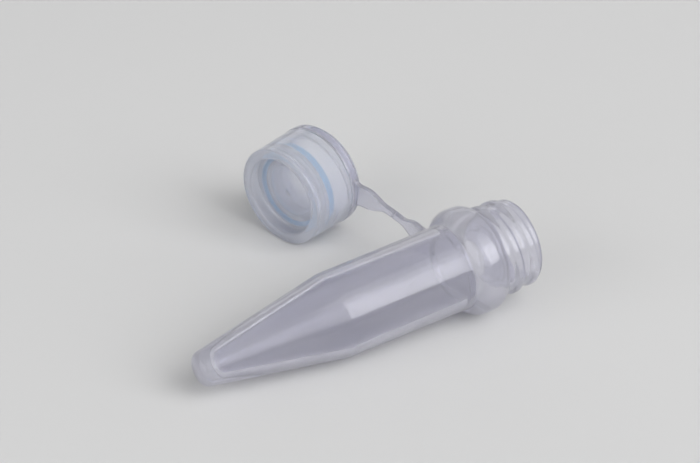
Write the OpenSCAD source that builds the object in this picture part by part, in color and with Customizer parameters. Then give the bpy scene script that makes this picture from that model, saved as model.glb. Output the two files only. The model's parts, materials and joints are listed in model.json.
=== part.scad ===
// Small screw-cap sample tube, moulded in one with its strap and cap ring, lying open on its side.
// The tube's axis points to +X, the cap lies on the +Y side and the ground is z = 0.
// The strap is cut where it flexes: beside the tube, and beside the ring that the cap turns in.

/* [Tube] */
// Length of the tube from its tip to its mouth
tube_length = 43.1; // [40:0.1:48]
// Outer radius of the rounded tip
tip_radius = 2.12; // [1.9:0.02:2.6]
// Rounding of the tip's edge
tip_rounding = 1.2; // [0.6:0.1:1.6]
// Height at which the cone meets the barrel
cone_height = 17.3; // [15:0.1:20]
// Outer radius of the barrel where the cone ends
barrel_low_radius = 5.13; // [5:0.01:5.2]
// Outer radius of the barrel under the collar
barrel_top_radius = 5.32; // [5.25:0.01:5.4]
// Solid plastic under the bottom of the bore
tip_wall = 1.9; // [1:0.1:2.5]
// Radius of the bore's round bottom
bore_bottom_radius = 1.3; // [1:0.05:1.5]
// Radius of the straight bore in the barrel
barrel_bore_radius = 4.2; // [3.9:0.05:4.3]

/* [Collar and neck] */
// Distance from the mouth down to the middle of the collar
collar_depth = 7.25; // [7.25:0.05:8.5]
// Radius at the collar's crest
collar_radius = 6.6; // [6.3:0.05:6.8]
// Height of the collar along the tube
collar_height = 4.7; // [4.2:0.1:4.8]
// Width of the flat band on the collar's crest
collar_flat = 0.8; // [0.2:0.1:1.2]
// Radius of the neck between the turns of its thread
neck_radius = 5.3; // [5.1:0.01:5.35]
// Radius at the crest of the neck's thread
thread_radius = 5.7; // [5.5:0.01:5.75]
// Advance of the thread in one turn
thread_pitch = 2.1; // [1.8:0.1:2.1]
// Width of a thread ridge at its foot
thread_foot = 1.5; // [1:0.1:1.8]
// Width of a thread ridge at its crest
thread_crest = 0.5; // [0.2:0.1:0.8]
// Turns of thread on the neck
thread_turns = 1.75; // [1.25:0.05:1.75]
// Where the neck's thread starts round the tube, from its underside
thread_start = 70; // [0:5:355]
// Rounding of the mouth's outer edge
mouth_rounding = 0.4; // [0.15:0.05:0.5]
// Radius of the wider bore in the neck
neck_bore_radius = 4.4; // [4.35:0.01:4.5]
// Depth of the wider bore from the mouth
neck_bore_depth = 10; // [8:0.5:13]

/* [Strap] */
// Distance from the collar's middle down to the middle of the strap
strap_below_collar = 1.75; // [1.6:0.05:2.6]
// Thickness of the strap
strap_thickness = 0.7; // [0.5:0.05:0.8]
// Width of the strap's narrow middle
strap_neck_width = 1.15; // [0.8:0.05:1.6]
// Width of the strap at its two bends
strap_bend_width = 3.1; // [2.2:0.1:3.4]
// Width over which the strap spreads on the barrel
strap_root_width = 5.4; // [4:0.1:6]
// Width over which the strap spreads on the ring
ring_root_width = 4.4; // [3.6:0.1:4.6]
// Length beyond each bend that keeps the bend's width
strap_shoulder = 0.8; // [0.4:0.1:1.2]
// Length over which each end then narrows to the middle
strap_flare = 3.4; // [2.5:0.1:4]
// Gap between the collar's crest and the strap when folded along the tube
strap_fold_gap = 0.45; // [0.3:0.05:1]
// Length of the ring's tab out to its bend
ring_tab = 1; // [0.8:0.1:1.5]
// Radius of the hollow end of each bend as a share of the thickness
bend_relief = 0.88; // [0.85:0.01:1]
// Rounding of the strap's long edges
strap_rounding = 0.18; // [0.05:0.01:0.24]

/* [Cap] */
// Height of the cap
cap_height = 8.2; // [8:0.1:9]
// How much narrower the closed top is than the shoulder above the ring
cap_taper = 0.19; // [0.1:0.01:0.35]
// Rounding of the closed top's edge
cap_rounding = 0.2; // [0.1:0.05:0.8]
// Radius of the recess in the closed top
recess_radius = 5.2; // [4.6:0.1:5.5]
// Depth of the recess
recess_depth = 1.6; // [1:0.1:1.8]
// Fillet between the recess's wall and its floor
recess_fillet = 0.6; // [0.2:0.1:0.8]
// Thickness of the cap's end wall
end_wall = 1; // [0.8:0.1:1.2]
// Radius of the gate mark in the middle of the recess
gate_radius = 0.55; // [0.3:0.05:0.8]
// Depth of the gate mark
gate_depth = 0.25; // [0.1:0.05:0.4]
// Length of the plug that enters the tube's mouth, past the seal
plug_length = 0.8; // [0.4:0.1:1]
// Wall of the plug
plug_wall = 0.8; // [0.6:0.05:1.2]
// Gap between the plug and the neck's bore
plug_gap = 0.06; // [0.04:0.01:0.1]
// Gap between the cap's threaded wall and the crest of the tube's thread
thread_gap = 0.1; // [0.06:0.01:0.14]
// Turns of thread in the cap
cap_thread_turns = 0.8; // [0.6:0.1:0.9]

/* [Seal] */
// Thickness of the sealing ring's round section
seal_section = 1.3; // [1:0.05:1.35]
// Gap between the sealing ring and its seat
seal_gap = 0.03; // [0.02:0.01:0.05]

/* [Cap ring] */
// Height of the ring along the cap's axis
ring_height = 1.2; // [1:0.05:1.3]
// Wall of the cap between its inner thread's bore and the groove that the ring runs in
groove_wall = 0.4; // [0.35:0.01:0.5]
// Thickness of the ring from its bore to its outside
ring_wall = 0.56; // [0.5:0.01:0.6]
// How far the ring stands proud of the cap's shoulder
ring_proud = 0.05; // [0:0.01:0.1]
// Gap between the ring and the groove's floor
ring_gap = 0.07; // [0.05:0.01:0.1]
// Gap between the ring and each side of the groove
ring_play = 0.06; // [0.04:0.01:0.1]
// Height of the lip that keeps the ring on the cap
lip_height = 0.45; // [0.4:0.05:0.6]
// How far the lip stands out of the groove's floor
lip_reach = 0.2; // [0.15:0.01:0.3]

/* [Lie of the open cap] */
// Distance from the tube's tip to the cap's closed top, along the tube
cap_along = 23.4; // [22.5:0.1:24.5]
// Distance from the tube's axis to the middle of the cap's closed top
cap_aside = 24.3; // [23.5:0.1:26]
// Turn of the cap's axis away from the tube's
cap_turn = 18.2; // [12:0.1:22]
// Turn of the ring on the cap, which lowers the strap's end
ring_turn = 1; // [0:0.5:6]

/* [Hidden] */
$fn = 96;
arc_steps = 10;
embed = 0.25;
root_sink = 0.1;
far = 40;

// Points on an arc about [x, y], from one angle to the other
function arc(x, y, r, from, to) =
    [for (i = [0 : arc_steps]) let (a = from + (to - from) * i / arc_steps) [x + r * cos(a), y + r * sin(a)]];
function unit(v) = v / norm(v);
function smooth(t) = let (k = max(0, min(1, t))) k * k * (3 - 2 * k);

// The collar swells from the barrel to its crest and falls to the neck along two like arcs
collar_z = tube_length - collar_depth;
collar_swell = collar_radius - (barrel_top_radius + neck_radius) / 2;
collar_arc = (pow((collar_height - collar_flat) / 2, 2) + pow(collar_swell, 2)) / (2 * collar_swell);
collar_arc_r = collar_radius - collar_arc;
collar_low_angle = -acos((barrel_top_radius - collar_arc_r) / collar_arc);
collar_high_angle = acos((neck_radius - collar_arc_r) / collar_arc);

// The cone leaves the tip's rounding at a tangent
tip_arc_r = tip_radius - tip_rounding;
cone_angle = atan2(barrel_low_radius - tip_radius, cone_height - tip_rounding);
bore_cone_top = cone_height + 0.4;
bore_cone_angle = atan2(barrel_bore_radius - bore_bottom_radius, bore_cone_top - tip_wall - bore_bottom_radius);
mouth_chamfer = 0.25;
step_rise = 0.3;

// The tube rests on the low end of its barrel and on its collar
rest_run = collar_z - collar_flat / 2 - cone_height;
rest_rise = collar_arc_r - barrel_low_radius;
tube_tilt = atan2(rest_rise, rest_run) + asin(collar_arc / norm([rest_run, rest_rise]));
tip_z = barrel_low_radius * cos(tube_tilt) - cone_height * sin(tube_tilt);

// Seal, plug and threads of the cap follow the tube's mouth
plug_radius = neck_bore_radius - plug_gap;
seal_radius = plug_radius + seal_gap + seal_section / 2;
seal_wall_radius = seal_radius + seal_section / 2 + seal_gap;
seat_depth = recess_depth + end_wall;
seal_z = seat_depth + seal_gap + seal_section / 2;
seat_end = seat_depth + 2 * seal_gap + seal_section;
cap_bore_radius = thread_radius + thread_gap;
cap_thread_radius = neck_radius + thread_gap;
cap_thread_start = seat_end + 0.35 + thread_foot / 2;

// The ring runs in a groove between the cap's shoulder and its lip
groove_radius = cap_bore_radius + groove_wall;
ring_bore_radius = groove_radius + ring_gap;
ring_radius = ring_bore_radius + ring_wall;
cap_shoulder_radius = ring_radius - ring_proud;
cap_top_radius = cap_shoulder_radius - cap_taper;
groove_end = cap_height - lip_height;
groove_start = groove_end - ring_height - 2 * ring_play;
ring_z = (groove_start + groove_end) / 2;
lip_rounding = 0.12;

// The cap rests on the rounded edge of its closed top and on its ring
ring_edge = 0.1;
cap_arc_r = cap_top_radius - cap_rounding;
cap_run = ring_z - ring_height / 2 + ring_edge - cap_rounding;
cap_rise = ring_radius - cap_arc_r;
cap_tilt = atan2(cap_rise, cap_run) - asin(cap_rounding / norm([cap_run, cap_rise]));
cap_top_z = cap_rounding * (1 - sin(cap_tilt)) + cap_arc_r * cos(cap_tilt);
cap_axis = [cos(cap_tilt) * cos(cap_turn), cos(cap_tilt) * sin(cap_turn), sin(cap_tilt)];
cap_top = [cap_along, cap_aside, cap_top_z];
cap_up = [-sin(cap_tilt) * cos(cap_turn), -sin(cap_tilt) * sin(cap_turn), cos(cap_tilt)];
cap_across = [-sin(cap_turn), cos(cap_turn), 0];

// Bends of the strap: one beside the tube and one beside the ring
tube_axis = [cos(tube_tilt), 0, sin(tube_tilt)];
tube_up = [-sin(tube_tilt), 0, cos(tube_tilt)];
strap_z = collar_z - strap_below_collar;
bend_reach = collar_radius + strap_fold_gap + strap_thickness / 2;
ring_reach = ring_radius + ring_tab;
tube_bend = [0, 0, tip_z] + strap_z * tube_axis + [0, bend_reach, 0];
ring_side = cos(ring_turn) * cap_across + sin(ring_turn) * cap_up;
ring_up = cos(ring_turn) * cap_up - sin(ring_turn) * cap_across;
ring_bend = cap_top + ring_z * cap_axis - ring_reach * ring_side;
relief_radius = bend_relief * strap_thickness;

// The origin lies under the middle of the whole part
low_x = tip_rounding * (cos(tube_tilt) - 1) - tip_arc_r * sin(tube_tilt);
high_x = tube_length * cos(tube_tilt) + (neck_radius - mouth_rounding) * sin(tube_tilt)
    + mouth_rounding * (1 - cos(tube_tilt));
high_y = cap_aside + ring_z * cap_axis[1] + ring_radius * sqrt(1 - pow(cap_axis[1], 2))
    + ring_height / 2 * cap_axis[1];
middle = [(low_x + high_x) / 2, (high_y - collar_radius) / 2, 0];

// Tube coordinates: z from the tip to the mouth, y towards the cap, x down
module on_tube() {
    translate([0, 0, tip_z] - middle) rotate([0, 90 - tube_tilt, 0]) children();
}

// Cap coordinates: z from the closed top to the open end, y away from the tube, x down
module on_cap() {
    translate(cap_top - middle) rotate([0, 90 - cap_tilt, cap_turn]) children();
}

// Helical ridge that stands out of a wall, or into a bore where the crest is the smaller radius
module thread_ridge(wall_r, crest_r, start_z, turns) {
    steps = ceil(turns * 30);
    fade = 0.12;
    root_r = wall_r + (wall_r > crest_r ? embed : -embed);
    outward = crest_r > wall_r;
    function lift(t) = smooth(min(t, 1 - t) * turns / fade);
    function section(t) = let (a = 360 * turns * t, z = start_z + thread_pitch * turns * t,
        k = lift(t), top = wall_r + (crest_r - wall_r) * k - (outward ? 0.04 : -0.04) * (1 - k),
        foot = thread_foot / 2, crest = thread_crest / 2 + (foot - thread_crest / 2) * 0.3 * (1 - k))
        [for (p = [[root_r, -foot], [top, -crest], [top, crest], [root_r, foot]])
            [p[0] * cos(a), p[0] * sin(a), z + p[1]]];
    rows = [for (i = [0 : steps]) section(i / steps)];
    sides = [for (i = [0 : steps - 1], j = [0 : 3])
        let (a = 4 * i + j, b = 4 * i + (j + 1) % 4) [a, b, b + 4, a + 4]];
    faces = concat([[3, 2, 1, 0]], sides, [[for (j = [0 : 3]) 4 * steps + j]]);
    polyhedron(concat([for (row = rows) for (p = row) p]), outward ? faces : [for (f = faces)
        [for (k = [len(f) - 1 : -1 : 0]) f[k]]]);
}

// Outline of the strap's spread, from the wall of a round piece out to a bend
module spread(wall_r, root_width, reach) {
    inner = sqrt(pow(wall_r, 2) - pow(root_width / 2, 2)) - root_sink;
    bend_half = strap_bend_width / 2;
    swell = root_width / 2 - bend_half;
    for (side = [0, 1]) mirror([0, side]) polygon(concat(
        [[inner, 0]],
        [for (i = [0 : arc_steps]) let (t = i / arc_steps)
            [inner + (reach - inner) * t, bend_half + swell * pow(1 - t, 2)]],
        [[reach, 0]]));
}

module tube() {
    color([0.86, 0.88, 0.92]) on_tube() union() {
        rotate_extrude() polygon(concat(
            [[0, 0]],
            arc(tip_arc_r, tip_rounding, tip_rounding, -90, -cone_angle),
            [[barrel_low_radius, cone_height]],
            arc(collar_arc_r, collar_z - collar_flat / 2, collar_arc, collar_low_angle, 0),
            arc(collar_arc_r, collar_z + collar_flat / 2, collar_arc, 0, collar_high_angle),
            arc(neck_radius - mouth_rounding, tube_length - mouth_rounding, mouth_rounding, 0, 90),
            [[neck_bore_radius + mouth_chamfer, tube_length],
             [neck_bore_radius, tube_length - mouth_chamfer],
             [neck_bore_radius, tube_length - neck_bore_depth],
             [barrel_bore_radius, tube_length - neck_bore_depth - step_rise],
             [barrel_bore_radius, bore_cone_top]],
            arc(0, tip_wall + bore_bottom_radius, bore_bottom_radius, -bore_cone_angle, -90)));
        rotate(thread_start)
            thread_ridge(neck_radius, thread_radius, collar_z + collar_height / 2 + 0.3, thread_turns);
        difference() {
            translate([0, 0, strap_z - strap_thickness / 2]) linear_extrude(strap_thickness)
                rotate(90) spread(barrel_top_radius, strap_root_width, bend_reach);
            translate([0, bend_reach, strap_z]) rotate([0, 90, 0])
                cylinder(r = relief_radius, h = far, center = true);
        }
    }
}

// Centre line of the strap between its bends
strap_pull = 4.5;
strap_knots = [tube_bend, tube_bend + [0, strap_pull, 0], ring_bend - strap_pull * ring_side, ring_bend];
function strap_at(t) = pow(1 - t, 3) * strap_knots[0] + 3 * t * pow(1 - t, 2) * strap_knots[1]
    + 3 * t * t * (1 - t) * strap_knots[2] + t * t * t * strap_knots[3];
function strap_way(t) = unit(pow(1 - t, 2) * (strap_knots[1] - strap_knots[0])
    + 2 * t * (1 - t) * (strap_knots[2] - strap_knots[1]) + t * t * (strap_knots[3] - strap_knots[2]));
function strap_half(t) = let (run = norm(ring_bend - tube_bend),
    wide = 1 - smooth((min(t, 1 - t) * run - strap_shoulder) / strap_flare))
    (strap_neck_width + (strap_bend_width - strap_neck_width) * wide) / 2;

// Each row of points goes round the strap once, and the rows close in to a round nose at each bend
module strap() {
    steps = 22;
    nose_steps = 4;
    corner_steps = 2;
    row_points = 4 * (corner_steps + 1);
    function row(t, nose) = let (way = strap_way(t), lean = (1 - t) * tube_up + t * ring_up,
        up = unit(lean - (lean * way) * way), thin = cross(way, up),
        half_thick = strap_thickness / 2 * cos(nose), r = min(strap_rounding, 0.8 * half_thick),
        h = strap_half(t) - r, w = half_thick - r,
        at = strap_at(t) - middle + strap_thickness / 2 * sin(nose) * way)
        [for (q = [0 : 3]) for (i = [0 : corner_steps]) let (a = 90 * (q + i / corner_steps),
            thick_side = (q == 0 || q == 3) ? 1 : -1, up_side = q < 2 ? 1 : -1)
            at + (thick_side * w + r * cos(a)) * thin + (up_side * h + r * sin(a)) * up];
    rows = concat(
        [for (k = [nose_steps : -1 : 1]) row(0, -80 * k / nose_steps)],
        [for (i = [0 : steps]) row(i / steps, 0)],
        [for (k = [1 : nose_steps]) row(1, 80 * k / nose_steps)]);
    last = len(rows) - 1;
    sides = [for (i = [0 : last - 1], j = [0 : row_points - 1])
        let (a = row_points * i + j, b = row_points * i + (j + 1) % row_points)
        [a, b, b + row_points, a + row_points]];
    color([0.86, 0.88, 0.92]) polyhedron([for (points = rows) for (p = points) p], concat(
        [[for (j = [row_points - 1 : -1 : 0]) j]], sides,
        [[for (j = [0 : row_points - 1]) row_points * last + j]]));
}

module cap_ring() {
    color([0.84, 0.87, 0.92]) on_cap() rotate(ring_turn) union() {
        translate([0, 0, ring_z]) rotate_extrude() polygon([
            [ring_bore_radius, -ring_height / 2], [ring_radius - ring_edge, -ring_height / 2],
            [ring_radius, ring_edge - ring_height / 2], [ring_radius, ring_height / 2 - ring_edge],
            [ring_radius - ring_edge, ring_height / 2], [ring_bore_radius, ring_height / 2]]);
        difference() {
            translate([0, 0, ring_z - strap_thickness / 2]) linear_extrude(strap_thickness)
                rotate(-90) spread(ring_radius, ring_root_width, ring_reach);
            translate([0, -ring_reach, ring_z]) rotate([0, 90, 0])
                cylinder(r = relief_radius, h = far, center = true);
        }
    }
}

module cap() {
    color([0.82, 0.86, 0.93]) on_cap() union() {
        rotate_extrude() polygon(concat(
            [[0, recess_depth + gate_depth], [gate_radius / 2, recess_depth + gate_depth],
             [gate_radius, recess_depth]],
            arc(recess_radius - recess_fillet, recess_depth - recess_fillet, recess_fillet, 90, 0),
            arc(recess_radius + 0.25, 0.25, 0.25, 180, 270),
            arc(cap_arc_r, cap_rounding, cap_rounding, -90, 0),
            [[cap_shoulder_radius, groove_start - 0.1],
             [cap_shoulder_radius - 0.1, groove_start],
             [groove_radius, groove_start],
             [groove_radius, groove_end],
             [groove_radius + lip_reach, groove_end]],
            arc(groove_radius + lip_reach - lip_rounding, cap_height - lip_rounding, lip_rounding, 0, 90),
            [[cap_bore_radius + 0.15, cap_height], [cap_bore_radius, cap_height - 0.15],
             [cap_bore_radius, seat_end + 0.3], [seal_wall_radius, seat_end],
             [seal_wall_radius, seat_depth], [plug_radius, seat_depth],
             [plug_radius, seat_end + plug_length - 0.2],
             [plug_radius - 0.2, seat_end + plug_length],
             [plug_radius - plug_wall, seat_end + plug_length],
             [plug_radius - plug_wall, seat_depth], [0, seat_depth]]));
        thread_ridge(cap_bore_radius, cap_thread_radius, cap_thread_start, cap_thread_turns);
    }
}

module seal_ring() {
    color([0.45, 0.75, 0.92]) on_cap() translate([0, 0, seal_z]) rotate_extrude()
        translate([seal_radius, 0]) circle(d = seal_section, $fn = 48);
}

tube();
strap();
cap_ring();
cap();
seal_ring();
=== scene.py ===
"""Screw-cap micro tube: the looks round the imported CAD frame. Shapes are given in mm and placed in metres."""
import bpy
import json
import math
import numpy as np
from mathutils import Matrix, Vector


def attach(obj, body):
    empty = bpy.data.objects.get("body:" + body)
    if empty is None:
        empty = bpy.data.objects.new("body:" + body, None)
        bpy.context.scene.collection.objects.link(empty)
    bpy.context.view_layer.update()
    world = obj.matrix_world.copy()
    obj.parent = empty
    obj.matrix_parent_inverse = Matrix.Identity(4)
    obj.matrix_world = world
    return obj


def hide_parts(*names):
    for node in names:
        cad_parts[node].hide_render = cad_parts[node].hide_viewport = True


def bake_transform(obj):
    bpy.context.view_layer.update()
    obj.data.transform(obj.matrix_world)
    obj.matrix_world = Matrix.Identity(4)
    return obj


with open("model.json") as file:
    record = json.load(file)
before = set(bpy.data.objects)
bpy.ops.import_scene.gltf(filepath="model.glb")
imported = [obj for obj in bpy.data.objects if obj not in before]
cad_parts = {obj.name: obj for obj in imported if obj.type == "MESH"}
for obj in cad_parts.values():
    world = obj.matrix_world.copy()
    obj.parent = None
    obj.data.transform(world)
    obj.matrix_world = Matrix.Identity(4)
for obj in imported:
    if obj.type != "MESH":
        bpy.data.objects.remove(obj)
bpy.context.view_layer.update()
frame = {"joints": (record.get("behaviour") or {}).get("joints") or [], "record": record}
MM = 0.001
scene = bpy.context.scene
mounts = {m["name"]: m for m in frame["record"]["mounts"]}
joints = {j["name"]: j for j in frame["joints"]}

# ---------------------------------------------------------------- camera
CAMERA_PLACE = Vector((-74.379, -137.394, 105.218)) * MM
CAMERA_TARGET = Vector((10.662, 8.545, 0.0)) * MM
camera = bpy.data.objects.new("camera", bpy.data.cameras.new("camera"))
scene.collection.objects.link(camera)
camera.location = CAMERA_PLACE
camera.rotation_mode = "QUATERNION"
camera.rotation_quaternion = (CAMERA_TARGET - CAMERA_PLACE).to_track_quat("-Z", "Y")
camera.data.sensor_width = 36
camera.data.lens = 78.34
camera.data.clip_start = 0.005
camera.data.clip_end = 20
scene.camera = camera

# ---------------------------------------------------------------- places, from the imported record
TUBE_LENGTH, NECK_DEPTH, MOUTH_CHAMFER = 43.1, 10.0, 0.25
CAP_HEIGHT, LIP_HEIGHT, RING_HEIGHT, RING_PLAY = 8.2, 0.45, 1.2, 0.06
GROOVE_END = CAP_HEIGHT - LIP_HEIGHT
GROOVE_START = GROOVE_END - RING_HEIGHT - 2 * RING_PLAY
RING_Z = (GROOVE_START + GROOVE_END) / 2
tube_axis = Vector(mounts["mouth"]["axis"]).normalized()
tube_up = -Vector(joints["strap_bend_at_tube"]["axis"]).normalized()
tube_side = tube_up.cross(tube_axis)
mouth_end = mounts["mouth"]["dims"]["length_mm"] / 2 + MOUTH_CHAMFER
tube_tip = Vector(mounts["mouth"]["pos_m"]) + tube_axis * (mouth_end - TUBE_LENGTH) * MM
cap_axis = Vector(joints["cap_turn"]["axis"]).normalized()
ring_up = -Vector(joints["strap_bend_at_cap"]["axis"]).normalized()
ring_side = ring_up.cross(cap_axis)
cap_top = Vector(joints["cap_turn"]["pos_m"]) - cap_axis * RING_Z * MM
tube_bend = Vector(joints["strap_bend_at_tube"]["pos_m"])
ring_bend = Vector(joints["strap_bend_at_cap"]["pos_m"])


def placing(origin, x, y, z):
    """Matrix that takes mm along x, y and z to metres in the row frame."""
    matrix = Matrix((x, y, z)).transposed().to_4x4()
    matrix.translation = origin
    return matrix @ Matrix.Scale(MM, 4)


TUBE_PLACE = placing(tube_tip, -tube_up, tube_side, tube_axis)
CAP_PLACE = placing(cap_top, -ring_up, ring_side, cap_axis)

# ---------------------------------------------------------------- outlines and lathes
FIRST_SPACING, SHORTEST, GROWTH = 0.02, 0.05, 0.3


def arc(x, y, r, start, end, steps=24):
    angles = [math.radians(start + (end - start) * i / steps) for i in range(steps + 1)]
    return [(x + r * math.cos(a), y + r * math.sin(a)) for a in angles]


def points_at(places, along, points):
    """Points of a line at the given lengths along it."""
    return np.stack([np.interp(places, along, points[:, i]) for i in (0, 1)], 1)


def soft_outline(points, soft, closed=False, turn=9.0, longest=0.8, fine=None):
    """Rounds an outline within `soft` mm of its corners and spaces its points by how sharply it turns.

    fine(radius, height) may ask for a closer spacing."""
    corners = np.array(points, float)
    if closed:
        corners = np.vstack([corners, corners[:1]])
    along = np.concatenate([[0], np.cumsum(np.linalg.norm(np.diff(corners, axis=0), axis=1))])
    dense = points_at(np.linspace(0, along[-1], int(along[-1] / FIRST_SPACING) + 1), along, corners)
    half = int(soft / FIRST_SPACING)
    window = np.hanning(2 * half + 3)[1:-1]
    window /= window.sum()
    if closed:
        ring = dense[:-1]
        padded = np.vstack([ring[-half:], ring, ring[:half]])
    else:
        padded = np.vstack([2 * dense[0] - dense[half:0:-1], dense, 2 * dense[-1] - dense[-2:-half - 2:-1]])
    dense = np.stack([np.convolve(padded[:, i], window, "valid") for i in (0, 1)], 1)
    if closed:
        dense = np.vstack([dense, dense[:1]])
    way = np.diff(dense, axis=0)
    gaps = np.linalg.norm(way, axis=1)
    along = np.concatenate([[0], np.cumsum(gaps)])
    heading = np.unwrap(np.arctan2(way[:, 1], way[:, 0]))
    bend = np.abs(np.gradient(heading)) / np.maximum(gaps, 1e-9)
    bend = np.concatenate([bend, bend[-1:]])
    size = np.clip(math.radians(turn) / np.maximum(bend, 1e-6), SHORTEST, longest)
    if fine is not None:
        size = np.minimum(size, fine(dense[:, 0], dense[:, 1]))
    for order in (range(1, len(size)), range(len(size) - 2, -1, -1)):
        for i in order:
            j = i - order.step
            size[i] = min(size[i], size[j] + GROWTH * abs(along[i] - along[j]))
    count = np.concatenate([[0], np.cumsum(np.diff(along) / ((size[1:] + size[:-1]) / 2))])
    marks = np.interp(np.linspace(0, count[-1], int(math.ceil(count[-1])) + 1), count, along)
    rows = points_at(marks, along, dense)
    return rows[:-1] if closed else rows


def new_mesh(name, verts, faces):
    mesh = bpy.data.meshes.new(name)
    mesh.from_pydata([tuple(v) for v in verts], [], faces)
    mesh.polygons.foreach_set("use_smooth", [True] * len(mesh.polygons))
    mesh.update()
    obj = bpy.data.objects.new(name, mesh)
    scene.collection.objects.link(obj)
    return obj


def lathe(name, outline, place, segments=224, closed=False, wall=None):
    """Revolves an outline of (radius, height) points, which is closed or has both its ends on the axis.

    wall(radius, angle, height) may change the radius."""
    rows = np.array(outline, float)
    body = rows if closed else rows[1:-1]
    angle = np.arange(segments) * 2 * math.pi / segments
    r = np.repeat(body[:, :1], segments, 1)
    z = np.repeat(body[:, 1:], segments, 1)
    if wall is not None:
        r = wall(r, np.repeat(angle[None, :], len(body), 0), z)
    verts = list(np.stack([r * np.cos(angle), r * np.sin(angle), z], 2).reshape(-1, 3))
    faces = []
    for i in range(len(body) if closed else len(body) - 1):
        a, b = i * segments, ((i + 1) % len(body)) * segments
        for j in range(segments):
            k = (j + 1) % segments
            faces.append((a + j, a + k, b + k, b + j))
    if not closed:
        first_pole, last_pole, last_row = len(verts), len(verts) + 1, (len(body) - 1) * segments
        verts += [(0, 0, rows[0, 1]), (0, 0, rows[-1, 1])]
        faces += [(first_pole, (j + 1) % segments, j) for j in range(segments)]
        faces += [(last_pole, last_row + j, last_row + (j + 1) % segments) for j in range(segments)]
    matrix = np.array(place)
    return new_mesh(name, np.array(verts) @ matrix[:3, :3].T + matrix[:3, 3], faces)


# ---------------------------------------------------------------- threads
THREAD_PITCH, THREAD_FOOT, THREAD_CREST, THREAD_FADE = 2.1, 1.5, 0.5, 0.14
THREAD_SPACING, FREE_SPACING, WALL_MATCH = 0.1, 9, 0.06


def smooth_step(t):
    t = np.clip(t, 0, 1)
    return t * t * (3 - 2 * t)


def helix(wall_r, crest_r, start_z, start_angle, turns, band):
    """Wall with a thread ridge: radius as a function of angle and height, within a band of heights."""
    def wall(r, angle, z):
        ridge = np.zeros_like(r)
        for k in range(-1, int(turns) + 2):
            turned = (angle - start_angle) / (2 * math.pi) + k
            centre = start_z + THREAD_PITCH * turned
            shape = smooth_step((THREAD_FOOT / 2 - np.abs(z - centre)) / (THREAD_FOOT / 2 - THREAD_CREST / 2))
            run = smooth_step(np.minimum(turned, turns - turned) / THREAD_FADE)
            ridge = np.maximum(ridge, shape * run)
        on_wall = (np.abs(r - wall_r) < WALL_MATCH) & (z > band[0]) & (z < band[1])
        return r + np.where(on_wall, ridge * (crest_r - wall_r), 0)
    return wall


def thread_fine(wall_r, reach, foot):
    """Spacing that is close on the wall that carries a thread and free elsewhere."""
    def fine(r, z):
        return np.where((np.abs(r - wall_r) < reach) & (z > foot), THREAD_SPACING, FREE_SPACING)
    return fine


# ---------------------------------------------------------------- tube, collar and neck
BARREL_R, BARREL_LOW_R, NECK_R, CONE_Z = 5.32, 5.13, 5.3, 17.3
TIP_FLAT_R, TIP_ROUNDING, MOUTH_ROUNDING, MOUTH_FACE_R = 0.92, 1.2, 0.4, 4.78
COLLAR_Z = TUBE_LENGTH - 7.25
COLLAR_R, COLLAR_H, COLLAR_FLAT = 6.6, 4.7, 0.8
NECK_FOOT = COLLAR_Z + COLLAR_H / 2
NECK_BORE_R = mounts["mouth"]["dims"]["r_mm"]
NECK_BORE_END = TUBE_LENGTH - NECK_DEPTH
BORE_R = mounts["barrel_bore"]["dims"]["r_mm"]
BORE_STEP, BORE_CONE_Z, BORE_FLOOR, BORE_TIP_R = 0.3, CONE_Z + 0.4, 1.9, 1.3

swell = COLLAR_R - (BARREL_R + NECK_R) / 2
collar_arc = (((COLLAR_H - COLLAR_FLAT) / 2) ** 2 + swell ** 2) / (2 * swell)
collar_centre = COLLAR_R - collar_arc
collar_low = -math.degrees(math.acos((BARREL_R - collar_centre) / collar_arc))
collar_high = math.degrees(math.acos((NECK_R - collar_centre) / collar_arc))
cone_lean = math.degrees(math.atan2(BARREL_LOW_R - (TIP_FLAT_R + TIP_ROUNDING), CONE_Z - TIP_ROUNDING))
bore_lean = math.degrees(math.atan2(BORE_R - BORE_TIP_R, BORE_CONE_Z - BORE_FLOOR - BORE_TIP_R))
tube_outside = (
    [(0, 0)]
    + arc(TIP_FLAT_R, TIP_ROUNDING, TIP_ROUNDING, -90, -cone_lean)
    + [(BARREL_LOW_R, CONE_Z)]
    + arc(collar_centre, COLLAR_Z - COLLAR_FLAT / 2, collar_arc, collar_low, 0)
    + arc(collar_centre, COLLAR_Z + COLLAR_FLAT / 2, collar_arc, 0, collar_high)
    + arc(NECK_R - MOUTH_ROUNDING, TUBE_LENGTH - MOUTH_ROUNDING, MOUTH_ROUNDING, 0, 90)
    + [(MOUTH_FACE_R, TUBE_LENGTH)])
tube_inside = (
    [(MOUTH_FACE_R, TUBE_LENGTH), (NECK_BORE_R + MOUTH_CHAMFER, TUBE_LENGTH),
     (NECK_BORE_R, TUBE_LENGTH - MOUTH_CHAMFER), (NECK_BORE_R, NECK_BORE_END),
     (BORE_R, NECK_BORE_END - BORE_STEP), (BORE_R, BORE_CONE_Z)]
    + arc(0, BORE_FLOOR + BORE_TIP_R, BORE_TIP_R, -bore_lean, -90))
neck_fine = thread_fine(NECK_R, reach=0.2, foot=NECK_FOOT + 0.1)
tube_rows = np.vstack([soft_outline(tube_outside, soft=0.18, fine=neck_fine),
                       soft_outline(tube_inside, soft=0.05)[1:]])
tube_rows[0, 0] = tube_rows[-1, 0] = 0
neck_thread = helix(NECK_R, crest_r=5.7, start_z=NECK_FOOT + 0.3, start_angle=math.radians(70), turns=1.75,
                    band=(NECK_FOOT, TUBE_LENGTH))
tube = lathe("tube_moulding", tube_rows, TUBE_PLACE, wall=neck_thread)

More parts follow.
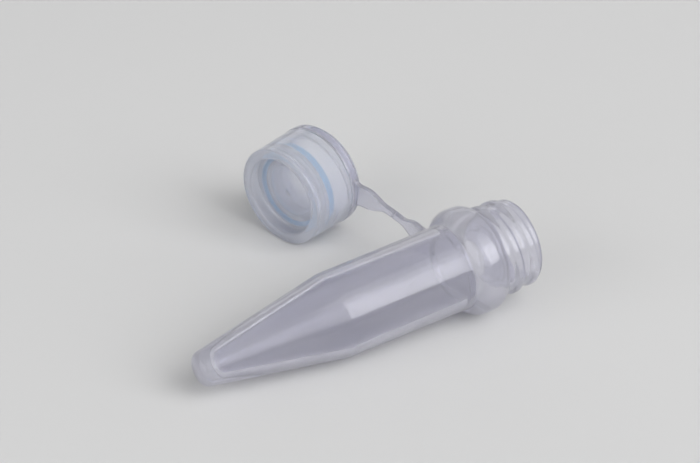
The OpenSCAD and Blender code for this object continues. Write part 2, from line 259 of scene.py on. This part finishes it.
# ---------------------------------------------------------------- cap
SHOULDER_R, TOP_R, TOP_ROUNDING, RIM_ROUNDING = 6.78, 6.59, 0.2, 0.25
GROOVE_R, GROOVE_EDGE, LIP_REACH, LIP_ROUNDING = 6.2, 0.1, 0.2, 0.12
CAP_BORE_R, CAP_BORE_CHAMFER, CAP_BORE_STEP = 5.8, 0.15, 0.3
RECESS_R, RECESS_DEPTH, RECESS_FILLET, END_WALL, GATE_R, GATE_DEPTH = 5.2, 1.6, 0.6, 1.0, 0.55, 0.25
SEAL_SECTION, SEAL_GAP = 1.3, 0.03
PLUG_R, PLUG_WALL, PLUG_LENGTH, PLUG_CHAMFER = 4.34, 0.8, 0.8, 0.2
SEAT = RECESS_DEPTH + END_WALL
SEAT_END = SEAT + 2 * SEAL_GAP + SEAL_SECTION
SEAL_R = PLUG_R + SEAL_GAP + SEAL_SECTION / 2
SEAL_WALL_R = SEAL_R + SEAL_SECTION / 2 + SEAL_GAP
PLUG_END = SEAT_END + PLUG_LENGTH
CAP_THREAD_BAND = (SEAT_END + 0.25, CAP_HEIGHT - 0.1)
CAP_THREAD_START = SEAT_END + 0.35 + THREAD_FOOT / 2

cap_outline = (
    [(0, RECESS_DEPTH + GATE_DEPTH), (GATE_R / 2, RECESS_DEPTH + GATE_DEPTH), (GATE_R, RECESS_DEPTH)]
    + arc(RECESS_R - RECESS_FILLET, RECESS_DEPTH - RECESS_FILLET, RECESS_FILLET, 90, 0)
    + arc(RECESS_R + RIM_ROUNDING, RIM_ROUNDING, RIM_ROUNDING, 180, 270)
    + arc(TOP_R - TOP_ROUNDING, TOP_ROUNDING, TOP_ROUNDING, -90, 0)
    + [(SHOULDER_R, GROOVE_START - GROOVE_EDGE), (SHOULDER_R - GROOVE_EDGE, GROOVE_START),
       (GROOVE_R, GROOVE_START), (GROOVE_R, GROOVE_END), (GROOVE_R + LIP_REACH, GROOVE_END)]
    + arc(GROOVE_R + LIP_REACH - LIP_ROUNDING, CAP_HEIGHT - LIP_ROUNDING, LIP_ROUNDING, 0, 90)
    + [(CAP_BORE_R + CAP_BORE_CHAMFER, CAP_HEIGHT), (CAP_BORE_R, CAP_HEIGHT - CAP_BORE_CHAMFER),
       (CAP_BORE_R, SEAT_END + CAP_BORE_STEP), (SEAL_WALL_R, SEAT_END), (SEAL_WALL_R, SEAT), (PLUG_R, SEAT),
       (PLUG_R, PLUG_END - PLUG_CHAMFER), (PLUG_R - PLUG_CHAMFER, PLUG_END),
       (PLUG_R - PLUG_WALL, PLUG_END), (PLUG_R - PLUG_WALL, SEAT), (0, SEAT)])
cap_fine = thread_fine(CAP_BORE_R, reach=0.07, foot=CAP_THREAD_BAND[0])
cap_rows = soft_outline(cap_outline, soft=0.07, fine=cap_fine)
cap_rows[0, 0] = cap_rows[-1, 0] = 0
cap_thread = helix(CAP_BORE_R, crest_r=5.4, start_z=CAP_THREAD_START, start_angle=0.0, turns=0.8,
                   band=CAP_THREAD_BAND)
cap = lathe("screw_cap", cap_rows, CAP_PLACE, wall=cap_thread)

# ---------------------------------------------------------------- sealing ring
SEAL_Z = SEAT + SEAL_GAP + SEAL_SECTION / 2
seal_rows = soft_outline(arc(SEAL_R, SEAL_Z, SEAL_SECTION / 2, 0, 345, steps=23), soft=0.02, closed=True,
                         turn=18, longest=0.2)
seal = lathe("sealing_ring", seal_rows, CAP_PLACE, segments=160, closed=True)

# ---------------------------------------------------------------- cap ring
RING_BORE_R, RING_R, RING_EDGE = GROOVE_R + 0.07, GROOVE_R + 0.63, 0.1
RING_START, RING_END = RING_Z - RING_HEIGHT / 2, RING_Z + RING_HEIGHT / 2
ring_rows = soft_outline(
    [(RING_BORE_R, RING_START), (RING_R - RING_EDGE, RING_START), (RING_R, RING_START + RING_EDGE),
     (RING_R, RING_END - RING_EDGE), (RING_R - RING_EDGE, RING_END), (RING_BORE_R, RING_END)],
    soft=0.06, closed=True, longest=0.3)
ring = lathe("ring_moulding", ring_rows, CAP_PLACE, closed=True)

# ---------------------------------------------------------------- strap
# One half belongs to the tube's moulding and one to the cap ring's, and they meet at the middle. In the names
# below, a is the tube's end and b the ring's. TUBE_REACH and RING_REACH go from a round wall's axis to its
# bend, and SEAM_REACH is how far from the seam the rows begin to turn.
STRAP_THICKNESS, STRAP_PULL, STRAP_ROUNDING = 0.7, 4.5, 0.26
STRAP_WIDTH, BEND_WIDTH, BEND_RUN, TAPER_RUN = 1.15, 3.1, 0.8, 3.4
TUBE_REACH, TUBE_ROOT_WIDTH, TUBE_ROOT_EXTRA = 7.4, 5.4, 0.25
RING_REACH, RING_ROOT_WIDTH, RING_ROOT_EXTRA = RING_R + 1.0, 4.4, 0.1
ROOT_SINK, SEAM_GAP, SEAM_REACH = 0.1, 0.004, 3.0
CORNER_STEPS, ROOT_STEPS, HALF_STEPS = 4, 13, 30
# The seam's plane holds this direction, which is nearly the camera's, so the seam is seen edge on.
SEAM_LIES = np.array((0.426, 0.732, -0.531))
SEAM_LIES /= np.linalg.norm(SEAM_LIES)

up_a, up_b = np.array(tube_up), np.array(ring_up)
side_a, side_b = np.array(tube_side), np.array(ring_side)
bend_a, bend_b = np.array(tube_bend) / MM, np.array(ring_bend) / MM
knots = [bend_a, bend_a + side_a * STRAP_PULL, bend_b - side_b * STRAP_PULL, bend_b]
strap_run = np.linalg.norm(knots[3] - knots[0])


def strap_row(at, way, lean, width, thick, slant=0.0):
    """One turn of points round the strap. A slant of 1 turns the row into the seam's plane."""
    up = lean - lean @ way * way
    up /= np.linalg.norm(up)
    thin = np.cross(way, up)
    cut = way - way @ SEAM_LIES * SEAM_LIES
    row = []
    for quarter in range(4):
        across = 1 if quarter in (0, 3) else -1
        upward = 1 if quarter < 2 else -1
        for i in range(CORNER_STEPS + 1):
            a = math.radians(90 * (quarter + i / CORNER_STEPS))
            out = ((across * (thick / 2 - STRAP_ROUNDING) + STRAP_ROUNDING * math.cos(a)) * thin
                   + (upward * (width / 2 - STRAP_ROUNDING) + STRAP_ROUNDING * math.sin(a)) * up)
            row.append(at + out - slant * (out @ cut) / (way @ cut) * way)
    return row


def bezier(t):
    """Point and direction at a share t of the way between the bends."""
    u = 1 - t
    p = u ** 3 * knots[0] + 3 * t * u * u * knots[1] + 3 * t * t * u * knots[2] + t ** 3 * knots[3]
    d = u * u * (knots[1] - knots[0]) + 2 * t * u * (knots[2] - knots[1]) + t * t * (knots[3] - knots[2])
    return p, d / np.linalg.norm(d)


def middle_row(t, shift):
    """Row between the bends, at a share t of the way and moved a little along it."""
    at, way = bezier(t)
    run = min(t, 1 - t) * strap_run
    taper = float(smooth_step((run - BEND_RUN) / TAPER_RUN))
    width = STRAP_WIDTH + (BEND_WIDTH - STRAP_WIDTH) * (1 - taper)
    slant = float(smooth_step(1 - abs(t - 0.5) * strap_run / SEAM_REACH))
    return strap_row(at + shift * way, way, (1 - t) * up_a + t * up_b, width, STRAP_THICKNESS, slant)


def half_rows(start, seam_step, shift):
    """Rows of the half that begins at the share `start`. The row at the seam is moved to leave the gap."""
    return [middle_row(start + 0.5 * i / HALF_STEPS, shift * (i == seam_step)) for i in range(HALF_STEPS + 1)]


def root_rows(bend, way, up, reach, wall_r, root_width, extra, turned=1):
    """Rows from inside a round wall out to a bend. They spread and thicken towards the wall."""
    start = math.sqrt(wall_r ** 2 - (root_width / 2) ** 2) - ROOT_SINK
    rows = []
    for i in range(ROOT_STEPS):
        t = 1 - i / ROOT_STEPS
        width = BEND_WIDTH + (root_width - BEND_WIDTH) * t ** 2
        at = bend + way * (start - reach) * t
        rows.append(strap_row(at, turned * way, up, width, STRAP_THICKNESS + extra * t ** 3))
    return rows


def sweep(name, rows):
    n = len(rows[0])
    verts = [p * MM for row in rows for p in row]
    faces = [tuple(range(n - 1, -1, -1)), tuple((len(rows) - 1) * n + j for j in range(n))]
    for i in range(len(rows) - 1):
        for j in range(n):
            k = (j + 1) % n
            faces.append((i * n + j, i * n + k, (i + 1) * n + k, (i + 1) * n + j))
    return new_mesh(name, verts, faces)


def join_solids(base, other):
    """Unites two closed meshes into the first one."""
    union = base.modifiers.new("join", "BOOLEAN")
    union.operation = "UNION"
    union.solver = "EXACT"
    union.object = other
    joined = base.evaluated_get(bpy.context.evaluated_depsgraph_get())
    mesh = bpy.data.meshes.new_from_object(joined)
    base.modifiers.clear()
    base.data = mesh
    bpy.data.objects.remove(other)


tube_root = root_rows(bend_a, side_a, up_a, TUBE_REACH, BARREL_R, TUBE_ROOT_WIDTH, TUBE_ROOT_EXTRA)
ring_root = root_rows(bend_b, -side_b, up_b, RING_REACH, RING_R, RING_ROOT_WIDTH, RING_ROOT_EXTRA, turned=-1)
strap_a = sweep("strap_a", tube_root + half_rows(0, HALF_STEPS, -SEAM_GAP / 2))
strap_b = sweep("strap_b", half_rows(0.5, 0, SEAM_GAP / 2) + ring_root[::-1])
join_solids(tube, strap_a)
join_solids(ring, strap_b)

# ---------------------------------------------------------------- materials
MARKS_FROM, MARKS_TO = 0.3, 0.7
FLOW_SCALE, SILICONE_SCALE = 260, 400
FLOW_HEIGHT = 0.00001
SMOOTHEST, ROUGHEST = 0.8, 1.25
POLYPROPYLENE_IOR = 1.49
HAZE = (0.996, 0.996, 0.998)


def material(name):
    m = bpy.data.materials.new(name)
    m.use_nodes = True
    nodes, links = m.node_tree.nodes, m.node_tree.links
    return m, nodes, links, nodes["Principled BSDF"]


def cloud(nodes, links, scale, stretch=(1, 1, 1)):
    """Noise in the row frame, in features of 1 / scale metres, drawn out where the stretch is under 1."""
    place = nodes.new("ShaderNodeTexCoord")
    mapping = nodes.new("ShaderNodeMapping")
    noise = nodes.new("ShaderNodeTexNoise")
    mapping.inputs["Scale"].default_value = stretch
    noise.inputs["Scale"].default_value = scale
    noise.inputs["Detail"].default_value = 3
    links.new(place.outputs["Object"], mapping.inputs["Vector"])
    links.new(mapping.outputs[0], noise.inputs["Vector"])
    return noise.outputs["Fac"]


def spread_to(nodes, links, fac, low, high):
    """Turns the noise into values from low to high."""
    level = nodes.new("ShaderNodeMapRange")
    level.inputs["From Min"].default_value = MARKS_FROM
    level.inputs["From Max"].default_value = MARKS_TO
    level.inputs["To Min"].default_value = low
    level.inputs["To Max"].default_value = high
    links.new(fac, level.inputs["Value"])
    return level.outputs[0]


def tinted(nodes, links, fac, low, high):
    """Turns the noise into colours from low to high."""
    ramp = nodes.new("ShaderNodeValToRGB")
    ramp.color_ramp.elements[0].position = MARKS_FROM
    ramp.color_ramp.elements[1].position = MARKS_TO
    ramp.color_ramp.elements[0].color = (*low, 1)
    ramp.color_ramp.elements[1].color = (*high, 1)
    links.new(fac, ramp.inputs["Fac"])
    return ramp.outputs["Color"]


def wavy(nodes, links, shader, fac, height):
    bump = nodes.new("ShaderNodeBump")
    bump.inputs["Strength"].default_value = 1.0
    bump.inputs["Distance"].default_value = height
    links.new(fac, bump.inputs["Height"])
    links.new(bump.outputs[0], shader.inputs["Normal"])


def hazy(nodes, links, density):
    """Fills the solid with a fine white haze."""
    haze = nodes.new("ShaderNodeVolumePrincipled")
    haze.inputs["Color"].default_value = (*HAZE, 1)
    haze.inputs["Density"].default_value = density
    haze.inputs["Anisotropy"].default_value = 0.0
    links.new(haze.outputs[0], nodes["Material Output"].inputs["Volume"])


def milky_plastic(name, low, high, clear, rough, density, stretch=(1, 1, 1)):
    """Natural polypropylene: part clear, part scattering, with faint flow marks."""
    m, nodes, links, shader = material(name)
    flow = cloud(nodes, links, FLOW_SCALE, stretch)
    links.new(tinted(nodes, links, flow, low, high), shader.inputs["Base Color"])
    links.new(spread_to(nodes, links, flow, SMOOTHEST * rough, ROUGHEST * rough), shader.inputs["Roughness"])
    wavy(nodes, links, shader, flow, FLOW_HEIGHT)
    shader.inputs["Transmission Weight"].default_value = clear
    shader.inputs["IOR"].default_value = POLYPROPYLENE_IOR
    hazy(nodes, links, density)
    return m


def silicone(name, low, high):
    """Coloured silicone rubber with faint mottling."""
    m, nodes, links, shader = material(name)
    mottling = cloud(nodes, links, SILICONE_SCALE)
    links.new(tinted(nodes, links, mottling, low, high), shader.inputs["Base Color"])
    shader.inputs["Roughness"].default_value = 0.4
    return m


tube_plastic = milky_plastic("clear_polypropylene", low=(0.82, 0.82, 0.922), high=(0.875, 0.872, 0.955),
                             clear=0.93, rough=0.085, density=280, stretch=(0.3, 1, 1))
cap_plastic = milky_plastic("cap_polypropylene", low=(0.865, 0.88, 0.98), high=(0.915, 0.93, 0.997),
                            clear=0.81, rough=0.11, density=450)
blue_silicone = silicone("blue_silicone", low=(0.08, 0.57, 0.92), high=(0.13, 0.66, 0.96))

for piece, paint, slot in ((tube, tube_plastic, "clear_polypropylene"),
                           (ring, tube_plastic, "clear_polypropylene"),
                           (cap, cap_plastic, "cap_polypropylene"),
                           (seal, blue_silicone, "blue_silicone")):
    piece.data.materials.clear()
    piece.data.materials.append(paint)

# ---------------------------------------------------------------- bodies
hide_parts("tube")
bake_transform(tube)
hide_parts("cap_ring", "strap")
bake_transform(ring)
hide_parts("cap")
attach(cap, "cap_body")
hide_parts("seal_ring")
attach(seal, "cap_body")

# ---------------------------------------------------------------- floor and world
FLOOR_HALF, FLOOR_GREY, WORLD_LEVEL = 4, 0.66, 0.3
floor_corners = [(x * FLOOR_HALF, y * FLOOR_HALF, 0) for x, y in ((-1, -1), (1, -1), (1, 1), (-1, 1))]
floor = new_mesh("floor", floor_corners, [(0, 1, 2, 3)])
floor_paint, _, _, floor_shader = material("floor")
floor_shader.inputs["Base Color"].default_value = (FLOOR_GREY, FLOOR_GREY, FLOOR_GREY, 1)
floor_shader.inputs["Roughness"].default_value = 0.9
floor_shader.inputs["Specular IOR Level"].default_value = 0.2
floor.data.materials.append(floor_paint)

world = bpy.data.worlds.new("world")
world.use_nodes = True
background = world.node_tree.nodes["Background"]
background.inputs["Color"].default_value = (1, 1, 1, 1)
background.inputs["Strength"].default_value = WORLD_LEVEL
scene.world = world

# ---------------------------------------------------------------- lamps
LAMP_DISTANCE = 1.6
LAMP_TARGET = Vector((0.0, 0.0, 0.005))
KEY_LEVEL, FILL_LEVEL, BEHIND_LEVEL, LEFT_LEVEL, RIGHT_LEVEL = 1.38, 0.43, 0.8, 1.9, 1.0


def soft_box(name, azimuth, low, high, spread, radiance):
    """Rectangular lamp that faces the part. The part sees it between two heights and in a width, in degrees,
    and its azimuth turns from -Y towards +X."""
    a, e = math.radians(azimuth), math.radians((low + high) / 2)
    place = Vector((LAMP_DISTANCE * math.sin(a) * math.cos(e), -LAMP_DISTANCE * math.cos(a) * math.cos(e),
                    LAMP_DISTANCE * math.sin(e)))
    width, height = (2 * LAMP_DISTANCE * math.tan(math.radians(x / 2)) for x in (spread, high - low))
    data = bpy.data.lights.new(name, "AREA")
    data.shape = "RECTANGLE"
    data.size, data.size_y = width, height
    data.energy = radiance * math.pi * width * height
    obj = bpy.data.objects.new(name, data)
    obj.location = place
    obj.rotation_mode = "QUATERNION"
    obj.rotation_quaternion = (LAMP_TARGET - place).to_track_quat("-Z", "Y")
    obj.visible_camera = False
    scene.collection.objects.link(obj)


# The key and the fill are three nested lamps each, so that their light fades upwards.
for top in (50, 62, 75):
    soft_box(f"key_{top}", azimuth=30, low=15, high=top, spread=35.6, radiance=KEY_LEVEL)
    soft_box(f"fill_{top}", azimuth=-8, low=15, high=top, spread=37.5, radiance=FILL_LEVEL)
soft_box("behind", azimuth=162, low=7, high=23, spread=66.9, radiance=BEHIND_LEVEL)
soft_box("left", azimuth=-79, low=3, high=40, spread=54.9, radiance=LEFT_LEVEL)
soft_box("right", azimuth=84, low=2, high=25, spread=41.3, radiance=RIGHT_LEVEL)

scene.view_settings.view_transform = "Standard"
scene.cycles.volume_bounces = 16
scene.cycles.glossy_bounces = 24
scene.cycles.diffuse_bounces = 8
scene.cycles.transmission_bounces = 24
scene.cycles.max_bounces = 32
